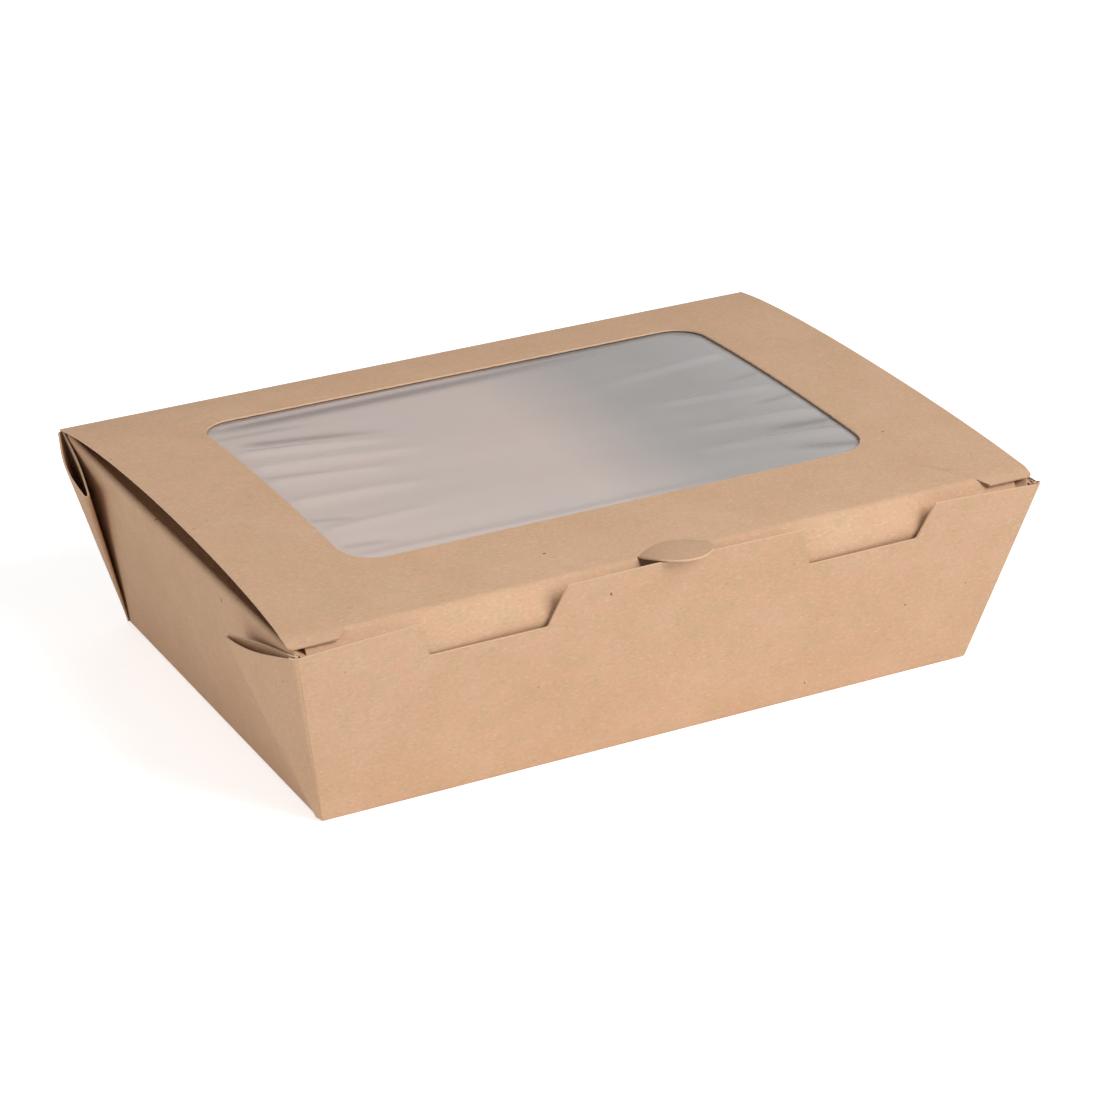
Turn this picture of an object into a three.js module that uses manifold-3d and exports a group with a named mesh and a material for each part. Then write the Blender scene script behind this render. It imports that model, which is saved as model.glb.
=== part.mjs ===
// Takeaway salad box of kraft board: a tapered tray folded from one blank, with doubled
// web corners, dust flaps and a notched front rim; its bowed tuck-in lid; and the clear
// film glued under the lid's window.
// Millimetres, +Z up, front towards -Y, origin at the centre of the base's underside.

import * as THREE from 'three';
import { mergeVertices } from 'three/addons/utils/BufferGeometryUtils.js';
import Module from 'manifold-3d';

const wasm = await Module();
wasm.setup();

// Sheet thicknesses and the gap between separate pieces.
const BOARD = 0.45;
const FILM = 0.2;
const CLEARANCE = 0.3;

// Tray, measured from crease to crease.
const BASE_LENGTH = 177;
const BASE_DEPTH = 117.2;
const RIM_LENGTH = 200;
const RIM_DEPTH = 142.2;
const RIM_HEIGHT = 50.3;

// Front rim: its arch above the corners, and the two open notches.
const FRONT_ARCH = 3.4;
const NOTCH_CENTRE = 50.8;
const NOTCH_TOP_WIDTH = 38;
const NOTCH_BOTTOM_WIDTH = 30.5;
const NOTCH_FLOOR = 43.4;
const NOTCH_RADIUS = 0.9;

// Web corners: length of the diagonal fold, how far the folded web springs off the side
// wall, and how far its two layers belly apart at the mouth.
const WEB_FOLD = 49.6;
const WEB_SPRING = THREE.MathUtils.degToRad(12.6);
const WEB_OUTER_BELLY = 1.7;
const WEB_INNER_BELLY = 1.1;
const WEB_TIP_RADIUS = 0.55;
const WEB_FOOT = 0.03;

// Dust flaps: folded in over the side walls, under the lid.
const SIDE_ARCH = 1.5;
const DUST_FOLD_RADIUS = 1.6;
const DUST_REACH = 27;
const DUST_SHOULDER = 6.5;
const DUST_FREE_WIDTH = 106;
const DUST_END_GAP = 0.9;
const DUST_CORNER_RADIUS = 9;
const DUST_PLAY = 1;

// Lid panel: its side margin inside the rim, the height of its front fold, its bow.
const LID_SIDE_MARGIN = 0.5;
const LID_FRONT_HEIGHT = 52.3;
const LID_BACK_ANGLE = THREE.MathUtils.degToRad(12);
const LID_FRONT_ANGLE = THREE.MathUtils.degToRad(8);
const LID_BOW_HANDLE = 28;
const LID_FOLD_RADIUS = 5.5;

// Tuck flap, with the slits that free the lid's front corners from it.
const TUCK_DEPTH = 23;
const TUCK_END_MARGIN = 8;
const TUCK_TAPER = 6;
const TUCK_CORNER_RADIUS = 9;
const SLIT_LENGTH = 14;
const SLIT_HEIGHT = 1.1;
const LID_CORNER_REACH = 4.2;
const LID_CORNER_ANGLE = THREE.MathUtils.degToRad(20);
const LID_CORNER_RADIUS = 3;

// Thumb tab: a half moon that stays with the lid and stands over the front rim.
const TAB_HALF_WIDTH = 9;
const TAB_REACH = 11.5;
const TAB_ROOT = 3.2;
const TAB_LIFT = THREE.MathUtils.degToRad(11);
const TAB_CUT = 0.4;
const TAB_LAP = 0.2;

// Window and the film's glued margin round it.
const WINDOW_LENGTH = 142;
const WINDOW_DEPTH = 92;
const WINDOW_SHIFT = 5.2;
const WINDOW_RADIUS = 9;
const FILM_MARGIN = 9;

// Fineness of curved stretches.
const BEND_STEPS = 8;
const BOW_STEPS = 20;
const WEB_STEPS = 8;
const ARCH_STEPS = 24;
const BEAD_SIDES = 8;
const TAB_STEPS = 16;
const TAB_END_SHARE = 0.03;
const OVERLAP = 0.05;

// How suddenly a side wall's top drops from its corners to the soft fold of the dust flap.
const SIDE_CORNER_POWER = 8;

// Worked out from the sizes above.
const MIDPLANE = BOARD / 2;
const RISE = RIM_HEIGHT - MIDPLANE;
const FRONT_RUN = (RIM_DEPTH - BASE_DEPTH) / 2;
const SIDE_RUN = (RIM_LENGTH - BASE_LENGTH) / 2;
const FRONT_SLANT = Math.hypot(RISE, FRONT_RUN);
const FRONT_LEAN = Math.atan2(FRONT_RUN, RISE);
const SIDE_LEAN = Math.atan2(SIDE_RUN, RISE);
const LID_HALF_LENGTH = RIM_LENGTH / 2 - LID_SIDE_MARGIN;
const HINGE_Y = RIM_DEPTH / 2;
const HINGE_Z = RIM_HEIGHT + BOARD / 2 + CLEARANCE;
const SLIT_START = LID_HALF_LENGTH - SLIT_LENGTH;
const HEADROOM = 2 * RIM_HEIGHT;

const kraft = new THREE.MeshStandardMaterial({ color: 0xc9a482, roughness: 0.85, metalness: 0 });
const kraftLid = new THREE.MeshStandardMaterial({ color: 0xcda988, roughness: 0.85, metalness: 0 });
const clearFilm = new THREE.MeshStandardMaterial({
  color: 0xc8c4c0, roughness: 0.15, metalness: 0, transparent: true, opacity: 0.5,
});

/** A closed three.js geometry as a solid that can be joined and cut. */
function solidOf(geometry) {
  const plain = geometry.index ? geometry.toNonIndexed() : geometry.clone();
  plain.deleteAttribute('normal');
  plain.deleteAttribute('uv');
  const merged = mergeVertices(plain, 1e-4);
  const vertProperties = new Float32Array(merged.attributes.position.array);
  const triVerts = new Uint32Array(merged.index.array);
  return new wasm.Manifold(new wasm.Mesh({ numProp: 3, vertProperties, triVerts }));
}

/** A solid as a three.js geometry. */
function geometryOf(solid) {
  const mesh = solid.getMesh();
  const geometry = new THREE.BufferGeometry();
  geometry.setAttribute('position', new THREE.BufferAttribute(mesh.vertProperties, 3));
  geometry.setIndex(new THREE.BufferAttribute(mesh.triVerts, 1));
  geometry.computeVertexNormals();
  return geometry;
}

function joined(solids) {
  return solids.reduce((whole, solid) => whole.add(solid));
}

/**
 * A sheet of even thickness about a mid-surface. pointAt(row, column) gives the surface's
 * points; the sheet's outer face is on the side of (row direction) x (column direction).
 */
function sheet(pointAt, rows, columns, thickness) {
  const grid = [];
  for (let i = 0; i <= rows; i += 1) {
    grid.push(Array.from({ length: columns + 1 }, (_, j) => pointAt(i, j)));
  }
  const positions = [];
  for (const side of [1, -1]) {
    for (let i = 0; i <= rows; i += 1) {
      for (let j = 0; j <= columns; j += 1) {
        const along = grid[Math.min(i + 1, rows)][j].clone().sub(grid[Math.max(i - 1, 0)][j]);
        const across = grid[i][Math.min(j + 1, columns)].clone().sub(grid[i][Math.max(j - 1, 0)]);
        const normal = along.cross(across).normalize();
        positions.push(...grid[i][j].clone().addScaledVector(normal, side * thickness / 2));
      }
    }
  }
  const perFace = (rows + 1) * (columns + 1);
  const at = (i, j) => i * (columns + 1) + j;
  const indices = [];
  const quad = (a, b, c, d) => indices.push(a, b, c, a, c, d);
  for (let i = 0; i < rows; i += 1) {
    for (let j = 0; j < columns; j += 1) {
      quad(at(i, j), at(i + 1, j), at(i + 1, j + 1), at(i, j + 1));
      quad(perFace + at(i, j), perFace + at(i, j + 1), perFace + at(i + 1, j + 1), perFace + at(i + 1, j));
    }
  }
  for (let i = 0; i < rows; i += 1) {
    quad(at(i, 0), perFace + at(i, 0), perFace + at(i + 1, 0), at(i + 1, 0));
    quad(at(i, columns), at(i + 1, columns), perFace + at(i + 1, columns), perFace + at(i, columns));
  }
  for (let j = 0; j < columns; j += 1) {
    quad(at(0, j), at(0, j + 1), perFace + at(0, j + 1), perFace + at(0, j));
    quad(at(rows, j), perFace + at(rows, j), perFace + at(rows, j + 1), at(rows, j + 1));
  }
  const geometry = new THREE.BufferGeometry();
  geometry.setAttribute('position', new THREE.Float32BufferAttribute(positions, 3));
  geometry.setIndex(indices);
  return solidOf(geometry);
}

/** A round bead of the board's thickness along a crease, from one point to another. */
function bead(from, to, radius = BOARD / 2) {
  const axis = to.clone().sub(from);
  const rod = new THREE.CylinderGeometry(radius, radius, axis.length(), BEAD_SIDES);
  rod.rotateY(Math.PI / BEAD_SIDES);
  const turn = new THREE.Quaternion().setFromUnitVectors(new THREE.Vector3(0, 1, 0), axis.normalize());
  rod.applyQuaternion(turn);
  const middle = from.clone().add(to).multiplyScalar(0.5);
  rod.translate(middle.x, middle.y, middle.z);
  return solidOf(rod);
}

/** An outline through the given corners, each [x, y, radius] rounded by its radius. */
function roundedOutline(corners) {
  const shape = new THREE.Shape();
  const count = corners.length;
  corners.forEach(([x, y, radius = 0], k) => {
    const corner = new THREE.Vector2(x, y);
    const before = new THREE.Vector2(...corners[(k + count - 1) % count].slice(0, 2)).sub(corner);
    const after = new THREE.Vector2(...corners[(k + 1) % count].slice(0, 2)).sub(corner);
    const half = Math.acos(before.dot(after) / before.length() / after.length()) / 2;
    const setback = radius / Math.tan(half);
    const start = corner.clone().addScaledVector(before.normalize(), setback);
    const end = corner.clone().addScaledVector(after.normalize(), setback);
    if (k === 0) shape.moveTo(start.x, start.y);
    else shape.lineTo(start.x, start.y);
    if (radius > 0) shape.quadraticCurveTo(x, y, end.x, end.y);
  });
  shape.closePath();
  return shape;
}

/** A prism of the given outline, from z = low to z = high. */
function prism(shape, low, high) {
  const geometry = new THREE.ExtrudeGeometry(shape, {
    depth: high - low, bevelEnabled: false, curveSegments: BEND_STEPS,
  });
  geometry.translate(0, 0, low);
  return geometry;
}

/** The frame of the front (end = -1) or back (end = 1) wall: x along it, y up its slant. */
function longWallFrame(end) {
  const along = new THREE.Vector3(-end, 0, 0);
  const up = new THREE.Vector3(0, end * FRONT_RUN, RISE).normalize();
  const out = along.clone().cross(up);
  const frame = new THREE.Matrix4().makeBasis(along, up, out);
  return frame.setPosition(0, end * BASE_DEPTH / 2, MIDPLANE);
}

/** The base panel. */
function basePanel() {
  const plate = new THREE.BoxGeometry(BASE_LENGTH, BASE_DEPTH, BOARD);
  plate.translate(0, 0, MIDPLANE);
  return solidOf(plate);
}

/** Height of the front rim up the wall's slant, at a place along it. */
function frontRimAt(x) {
  const share = x / (RIM_LENGTH / 2);
  return FRONT_SLANT + FRONT_ARCH * (1 - share * share);
}

/** One open notch of the front rim, as a cutter in the wall's frame. */
function notchCutter(centre) {
  const top = FRONT_SLANT + 2 * FRONT_ARCH;
  const flare = (NOTCH_TOP_WIDTH - NOTCH_BOTTOM_WIDTH) / 2 / (frontRimAt(NOTCH_CENTRE) - NOTCH_FLOOR);
  const halfBottom = NOTCH_BOTTOM_WIDTH / 2;
  const halfTop = halfBottom + flare * (top - NOTCH_FLOOR);
  const outline = roundedOutline([
    [centre - halfTop, top],
    [centre - halfBottom, NOTCH_FLOOR, NOTCH_RADIUS],
    [centre + halfBottom, NOTCH_FLOOR, NOTCH_RADIUS],
    [centre + halfTop, top],
  ]);
  return solidOf(prism(outline, -BOARD, BOARD));
}

/** The front wall: a tapered panel with an arched rim and two open notches. */
function frontWall() {
  const outline = new THREE.Shape();
  outline.moveTo(-BASE_LENGTH / 2, 0);
  outline.lineTo(BASE_LENGTH / 2, 0);
  for (let k = 0; k <= ARCH_STEPS; k += 1) {
    const x = RIM_LENGTH * (0.5 - k / ARCH_STEPS);
    outline.lineTo(x, frontRimAt(x));
  }
  outline.closePath();
  const notches = joined([notchCutter(-NOTCH_CENTRE), notchCutter(NOTCH_CENTRE)]);
  const flat = solidOf(prism(outline, -MIDPLANE, MIDPLANE)).subtract(notches);
  return placed(flat, longWallFrame(-1));
}

/** The back wall: a tapered panel up to the lid's crease. */
function backWall() {
  const outline = roundedOutline([
    [-BASE_LENGTH / 2, 0], [BASE_LENGTH / 2, 0],
    [RIM_LENGTH / 2, FRONT_SLANT], [-RIM_LENGTH / 2, FRONT_SLANT],
  ]);
  return placed(solidOf(prism(outline, -MIDPLANE, MIDPLANE)), longWallFrame(1));
}

/** A solid moved by a matrix. */
function placed(solid, matrix) {
  const geometry = geometryOf(solid);
  geometry.deleteAttribute('normal');
  geometry.applyMatrix4(matrix);
  return solidOf(geometry);
}

/** Rise of the side wall's top fold above the rim's corners, at a place along it. */
function sideArchAt(y) {
  const share = y / (RIM_DEPTH / 2);
  return SIDE_ARCH * (1 - share * share);
}

/** A side wall (side = -1 left, 1 right), up to where its top fold starts to bend. */
function sideWall(side) {
  const setback = DUST_FOLD_RADIUS * Math.tan((Math.PI / 2 + SIDE_LEAN) / 2);
  const pointAt = (i, j) => {
    const across = side * (2 * j / WEB_STEPS - 1);
    const y = across * (BASE_DEPTH / 2 + i * FRONT_RUN);
    const full = RISE + i * sideArchAt(y);
    const height = i * (full - setback * Math.cos(SIDE_LEAN) * (1 - across ** SIDE_CORNER_POWER));
    return new THREE.Vector3(
      side * (BASE_LENGTH / 2 + SIDE_RUN * height / RISE), y, MIDPLANE + height,
    );
  };
  return sheet(pointAt, 1, WEB_STEPS, BOARD);
}

/** Outline of a dust flap seen from above: shoulders at the corners, then a taper. */
function dustOutline(side) {
  const root = RIM_DEPTH / 2 - DUST_END_GAP;
  const half = DUST_FREE_WIDTH / 2;
  const shoulderX = side * (RIM_LENGTH / 2 - DUST_SHOULDER);
  const slitX = side * (SLIT_START - CLEARANCE);
  const slitY = -lidFold().start.y - BOARD - CLEARANCE;
  const freeX = side * (RIM_LENGTH / 2 - DUST_REACH);
  const outerX = side * (RIM_LENGTH / 2 + DUST_SHOULDER);
  return roundedOutline([
    [outerX, -root], [shoulderX, -root], [slitX, -slitY],
    [freeX, -half, DUST_CORNER_RADIUS], [freeX, half, DUST_CORNER_RADIUS],
    [slitX, slitY], [shoulderX, root], [outerX, root],
  ]);
}

/** A dust flap with the soft fold that carries it, trimmed to its outline. */
function dustFlap(side) {
  const turn = Math.PI / 2 + SIDE_LEAN;
  const setback = DUST_FOLD_RADIUS * Math.tan(turn / 2);
  const halfDepth = RIM_DEPTH / 2;
  const pointAt = (i, j) => {
    const y = side * halfDepth * (2 * j / WEB_STEPS - 1);
    const creaseX = RIM_LENGTH / 2 + SIDE_RUN * sideArchAt(y) / RISE;
    const creaseZ = RIM_HEIGHT + sideArchAt(y);
    const centreX = creaseX - setback;
    const centreZ = creaseZ - DUST_FOLD_RADIUS;
    if (i > BEND_STEPS) {
      return new THREE.Vector3(side * (RIM_LENGTH / 2 - DUST_REACH - DUST_PLAY), y, creaseZ);
    }
    const bend = -SIDE_LEAN + turn * i / BEND_STEPS;
    return new THREE.Vector3(
      side * (centreX + DUST_FOLD_RADIUS * Math.cos(bend)),
      y, centreZ + DUST_FOLD_RADIUS * Math.sin(bend),
    );
  };
  const trim = solidOf(prism(dustOutline(side), 0, HEADROOM));
  return sheet(pointAt, BEND_STEPS + 1, WEB_STEPS, BOARD).intersect(trim);
}

/** Corner of the base (level = 0) or of the rim (level = 1). */
function cornerPoint(side, end, level) {
  return new THREE.Vector3(
    side * (BASE_LENGTH / 2 + level * SIDE_RUN),
    end * (BASE_DEPTH / 2 + level * FRONT_RUN),
    MIDPLANE + level * RISE,
  );
}

/** Half the angle of the web that the flat blank has at each corner. */
function webHalfAngle() {
  const frontFlare = Math.atan2(SIDE_RUN, FRONT_SLANT);
  const sideFlare = Math.atan2(FRONT_RUN, Math.hypot(RISE, SIDE_RUN));
  return (Math.PI / 2 - frontFlare - sideFlare) / 2;
}

/**
 * A web corner: the blank's web, folded in two along its diagonal and laid back outside
 * the side wall. Each layer is a cone about the base's corner, bellied away from the other.
 */
function webCorner(side, end) {
  const foot = cornerPoint(side, end, 0);
  const crown = cornerPoint(side, end, 1);
  const crease = crown.clone().sub(foot).normalize();
  const wallOut = new THREE.Vector3(side * RISE, 0, -SIDE_RUN).normalize();
  const inward = new THREE.Vector3(0, -end, 0);
  inward.addScaledVector(crease, -inward.dot(crease)).normalize();
  const across = inward.clone().multiplyScalar(Math.cos(WEB_SPRING));
  across.addScaledVector(wallOut, Math.sin(WEB_SPRING));
  const out = wallOut.clone().multiplyScalar(Math.cos(WEB_SPRING));
  out.addScaledVector(inward, -Math.sin(WEB_SPRING));

  const angle = webHalfAngle();
  const creaseLength = crown.distanceTo(foot);
  const edgeReach = (bend) => creaseLength * WEB_FOLD * Math.sin(angle)
    / (creaseLength * Math.sin(bend) + WEB_FOLD * Math.sin(angle - bend));
  const pointOn = (belly) => (i, j) => {
    const step = side * end > 0 ? WEB_STEPS - j : j;
    const bend = angle * step / WEB_STEPS;
    const reach = edgeReach(bend) * (WEB_FOOT + (1 - WEB_FOOT) * i / WEB_STEPS);
    const lift = belly * Math.sin(Math.PI * step / WEB_STEPS) * reach / WEB_FOLD;
    return foot.clone()
      .addScaledVector(crease, reach * Math.cos(bend))
      .addScaledVector(across, reach * Math.sin(bend))
      .addScaledVector(out, lift);
  };
  const tip = foot.clone()
    .addScaledVector(crease, WEB_FOLD * Math.cos(angle))
    .addScaledVector(across, WEB_FOLD * Math.sin(angle));
  return joined([
    sheet(pointOn(WEB_OUTER_BELLY), WEB_STEPS, WEB_STEPS, BOARD),
    sheet(pointOn(-WEB_INNER_BELLY), WEB_STEPS, WEB_STEPS, BOARD),
    bead(foot, tip, WEB_TIP_RADIUS / 2),
    bead(foot, crown),
  ]);
}

/** Beads along the four creases round the base. */
function baseCreases() {
  const [a, b, c, d] = [[-1, -1], [1, -1], [1, 1], [-1, 1]].map(([x, y]) => cornerPoint(x, y, 0));
  return joined([bead(a, b), bead(b, c), bead(c, d), bead(d, a)]);
}

/** The tray, folded from one blank. */
function tray() {
  const parts = [basePanel(), baseCreases(), frontWall(), backWall()];
  for (const side of [-1, 1]) {
    parts.push(sideWall(side), dustFlap(side), webCorner(side, -1), webCorner(side, 1));
  }
  return joined(parts);
}

/** Place across the box (y) of the tuck flap's mid-plane at a height. */
function tuckPlaneAt(z) {
  const wallY = -BASE_DEPTH / 2 - FRONT_RUN * (z - MIDPLANE) / RISE;
  return wallY + (BOARD + CLEARANCE) / Math.cos(FRONT_LEAN);
}

/** The lid's front fold in the y-z plane: an arc from the panel to the tuck flap. */
function lidFold() {
  const centreZ = LID_FRONT_HEIGHT - LID_FOLD_RADIUS * Math.cos(LID_FRONT_ANGLE);
  const centreY = tuckPlaneAt(centreZ) + LID_FOLD_RADIUS / Math.cos(FRONT_LEAN);
  const onArc = (bend) => new THREE.Vector2(
    centreY - LID_FOLD_RADIUS * Math.sin(bend),
    centreZ + LID_FOLD_RADIUS * Math.cos(bend),
  );
  const last = Math.PI / 2 + FRONT_LEAN;
  return { start: toYZ(onArc(LID_FRONT_ANGLE)), end: toYZ(onArc(last)), onArc, last };
}

function toYZ(point) {
  return { y: point.x, z: point.y };
}

/** The lid panel's bow in the y-z plane, from the hinge (0) to the front fold (1). */
function lidBow() {
  const { start } = lidFold();
  return new THREE.CubicBezierCurve(
    new THREE.Vector2(HINGE_Y, HINGE_Z),
    new THREE.Vector2(
      HINGE_Y - LID_BOW_HANDLE, HINGE_Z + LID_BOW_HANDLE * Math.tan(LID_BACK_ANGLE),
    ),
    new THREE.Vector2(
      start.y + LID_BOW_HANDLE, start.z + LID_BOW_HANDLE * Math.tan(LID_FRONT_ANGLE),
    ),
    new THREE.Vector2(start.y, start.z),
  );
}

/** A sheet with an even section in the y-z plane, from x = left to x = right. */
function sweptSheet(section, left, right, thickness) {
  const pointAt = (i, j) => new THREE.Vector3(j === 0 ? left : right, section[i].x, section[i].y);
  return sheet(pointAt, section.length - 1, 1, thickness);
}

/** The bowed panel, with a rounded nose on its hinge crease. */
function lidPanel() {
  const section = lidBow().getPoints(BOW_STEPS);
  const left = new THREE.Vector3(-LID_HALF_LENGTH, HINGE_Y, HINGE_Z);
  const right = new THREE.Vector3(LID_HALF_LENGTH, HINGE_Y, HINGE_Z);
  return sweptSheet(section, -LID_HALF_LENGTH, LID_HALF_LENGTH, BOARD).add(bead(left, right));
}

/** The front fold between the two slits. */
function frontFold() {
  const { onArc, last } = lidFold();
  const section = [];
  const first = LID_FRONT_ANGLE - OVERLAP / LID_FOLD_RADIUS;
  for (let k = 0; k <= BEND_STEPS; k += 1) {
    section.push(onArc(first + (last - first) * k / BEND_STEPS));
  }
  return sweptSheet(section, -SLIT_START, SLIT_START, BOARD);
}

/** The tuck flap, with tapered ends, rounded corners and a shoulder beside each slit. */
function tuckFlap() {
  const { end } = lidFold();
  const slitTop = LID_FRONT_HEIGHT - SLIT_HEIGHT - BOARD - LID_FOLD_RADIUS * Math.sin(LID_FRONT_ANGLE);
  const upTheSlant = (slitTop - end.z) / Math.cos(FRONT_LEAN);
  const topHalf = LID_HALF_LENGTH - TUCK_END_MARGIN;
  const outline = roundedOutline([
    [-SLIT_START, OVERLAP], [-SLIT_START, upTheSlant], [-topHalf, upTheSlant],
    [-topHalf + TUCK_TAPER, -TUCK_DEPTH, TUCK_CORNER_RADIUS],
    [topHalf - TUCK_TAPER, -TUCK_DEPTH, TUCK_CORNER_RADIUS],
    [topHalf, upTheSlant], [SLIT_START, upTheSlant], [SLIT_START, OVERLAP],
  ]);
  const frame = new THREE.Matrix4().makeRotationX(Math.PI / 2 + FRONT_LEAN);
  frame.setPosition(0, end.y, end.z);
  return placed(solidOf(prism(outline, -MIDPLANE, MIDPLANE)), frame);
}

/** A front corner of the lid, freed by its slit and hanging a little lower than the fold. */
function lidCorner(side) {
  const { start } = lidFold();
  const outline = roundedOutline([
    [side * SLIT_START, OVERLAP], [side * SLIT_START, -LID_CORNER_REACH],
    [side * LID_HALF_LENGTH, -LID_CORNER_REACH, LID_CORNER_RADIUS],
    [side * LID_HALF_LENGTH, OVERLAP],
  ]);
  const frame = new THREE.Matrix4().makeRotationX(LID_CORNER_ANGLE);
  frame.setPosition(0, start.y, start.z);
  return placed(solidOf(prism(outline, -MIDPLANE, MIDPLANE)), frame);
}

/** Half an ellipse that hangs forward from the fold's start, about x = 0. */
function halfMoon(halfWidth, reach) {
  const outline = new THREE.Shape();
  outline.absellipse(0, 0, halfWidth, reach, Math.PI, 2 * Math.PI, false);
  outline.lineTo(halfWidth, OVERLAP);
  outline.lineTo(-halfWidth, OVERLAP);
  outline.closePath();
  return outline;
}

/** How far behind the fold's start the thumb tab's root lies, at a place along the fold. */
function tabRootAt(x) {
  const share = x / TAB_HALF_WIDTH;
  return TAB_ROOT * (1 - share * share);
}

/**
 * The thumb tab: straight lines from its root, a shallow arc in the panel, to its free
 * edge, half an ellipse that stands over the front rim.
 */
function thumbTab() {
  const { start } = lidFold();
  const pointAt = (i, j) => {
    const turn = Math.PI * (TAB_END_SHARE + (1 - 2 * TAB_END_SHARE) * j / TAB_STEPS);
    const x = -TAB_HALF_WIDTH * Math.cos(turn);
    const root = tabRootAt(x);
    const travel = i * (root + TAB_REACH * Math.sin(turn));
    const rise = root * Math.tan(LID_FRONT_ANGLE) + travel * Math.tan(TAB_LIFT);
    return new THREE.Vector3(x, start.y + root - travel, start.z + rise);
  };
  return sheet(pointAt, 1, TAB_STEPS, BOARD);
}

/** What the tab leaves open in the panel, between its root and the fold's start. */
function tabRootCutter() {
  const { start } = lidFold();
  const outline = new THREE.Shape();
  outline.moveTo(-TAB_HALF_WIDTH, start.y - TAB_ROOT);
  outline.lineTo(TAB_HALF_WIDTH, start.y - TAB_ROOT);
  for (let k = 0; k <= TAB_STEPS; k += 1) {
    const x = TAB_HALF_WIDTH * (1 - 2 * k / TAB_STEPS);
    outline.lineTo(x, start.y + tabRootAt(x) - TAB_LAP);
  }
  outline.closePath();
  return solidOf(prism(outline, 0, HEADROOM));
}

/** What the tab leaves open in the fold: its half moon, seen square to the fold. */
function tabCutter() {
  const { onArc, last, start } = lidFold();
  const facing = (LID_FRONT_ANGLE + last) / 2;
  const centre = onArc(facing);
  const frame = new THREE.Matrix4().makeRotationX(facing);
  frame.setPosition(0, start.y, start.z);
  const depth = Math.hypot(centre.x - start.y, centre.y - start.z) + LID_FOLD_RADIUS;
  const opening = halfMoon(TAB_HALF_WIDTH + TAB_CUT, TAB_REACH + TAB_CUT);
  return placed(solidOf(prism(opening, -depth, depth)), frame);
}

/** A rounded rectangle about the window's centre, grown by a margin. */
function windowOutline(margin) {
  const halfLength = WINDOW_LENGTH / 2 + margin;
  const front = WINDOW_SHIFT - WINDOW_DEPTH / 2 - margin;
  const back = WINDOW_SHIFT + WINDOW_DEPTH / 2 + margin;
  return roundedOutline([
    [-halfLength, front, WINDOW_RADIUS], [halfLength, front, WINDOW_RADIUS],
    [halfLength, back, WINDOW_RADIUS], [-halfLength, back, WINDOW_RADIUS],
  ]);
}

/** The lid: bowed panel, front fold, tuck flap, free corners and thumb tab. */
function lid() {
  const window = solidOf(prism(windowOutline(0), 0, HEADROOM));
  const folded = frontFold().add(tuckFlap()).subtract(tabCutter());
  const panel = lidPanel().subtract(window).subtract(tabRootCutter());
  return joined([panel, folded, lidCorner(-1), lidCorner(1), thumbTab()]);
}

/** The film: it follows the bow just under the panel, past the window on all sides. */
function windowFilm() {
  const bow = lidBow();
  const drop = (BOARD + FILM) / 2 + CLEARANCE;
  const section = bow.getPoints(BOW_STEPS).map((point, k) => {
    const heading = bow.getTangent(k / BOW_STEPS);
    return new THREE.Vector2(point.x - heading.y * drop, point.y + heading.x * drop);
  });
  const glued = solidOf(prism(windowOutline(FILM_MARGIN), 0, HEADROOM));
  const reach = WINDOW_LENGTH / 2 + 2 * FILM_MARGIN;
  return sweptSheet(section, -reach, reach, FILM).intersect(glued);
}

function named(name, solid, material) {
  const mesh = new THREE.Mesh(geometryOf(solid), material);
  mesh.name = name;
  return mesh;
}

const saladBox = new THREE.Group();
saladBox.add(named('tray', tray(), kraft));

const lidAssembly = new THREE.Group();
lidAssembly.add(named('lid', lid(), kraftLid));
lidAssembly.add(named('window_film', windowFilm(), clearFilm));
saladBox.add(lidAssembly);

export default saladBox;
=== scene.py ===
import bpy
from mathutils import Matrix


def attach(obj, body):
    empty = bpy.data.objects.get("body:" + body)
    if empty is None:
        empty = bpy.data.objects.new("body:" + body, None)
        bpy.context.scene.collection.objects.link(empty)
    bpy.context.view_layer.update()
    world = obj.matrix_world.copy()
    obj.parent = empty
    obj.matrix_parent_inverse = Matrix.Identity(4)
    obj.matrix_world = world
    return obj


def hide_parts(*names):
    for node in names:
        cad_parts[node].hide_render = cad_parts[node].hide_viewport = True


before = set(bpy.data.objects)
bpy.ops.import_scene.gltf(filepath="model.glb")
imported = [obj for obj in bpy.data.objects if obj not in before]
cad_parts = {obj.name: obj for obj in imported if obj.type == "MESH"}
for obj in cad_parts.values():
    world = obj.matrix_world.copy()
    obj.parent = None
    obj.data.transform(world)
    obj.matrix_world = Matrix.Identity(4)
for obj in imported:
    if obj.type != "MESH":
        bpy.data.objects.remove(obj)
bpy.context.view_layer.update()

"""Looks of a takeaway salad box: a tray folded from kraft board, its bowed tuck-in lid and
the wrinkled clear film under the lid's window.

Shapes are worked out in millimetres as whole numpy arrays and put into meshes in metres.
"""

import logging
import math
from dataclasses import dataclass
from enum import Enum

import bpy
import numpy as np
from mathutils import Matrix, Vector

MM = 0.001
OUTLINE_STEPS = (121, 81)
LOG = logging.getLogger("salad_box")

Colour = tuple[float, float, float]
Socket = bpy.types.NodeSocket


class Body(Enum):
    """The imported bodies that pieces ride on."""

    TRAY = "tray"
    LID = "lid"


class Slot(Enum):
    """Names for the board's and the film's material slots."""

    KRAFT = "kraft_board"
    FILM = "clear_film"


# Mesh data


@dataclass
class Patch:
    """A closed stretch of mesh: vertices in millimetres, four-sided faces, and which of the
    faces lie in the board's cut edges."""

    vertices: np.ndarray
    faces: np.ndarray
    cut: np.ndarray


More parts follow.
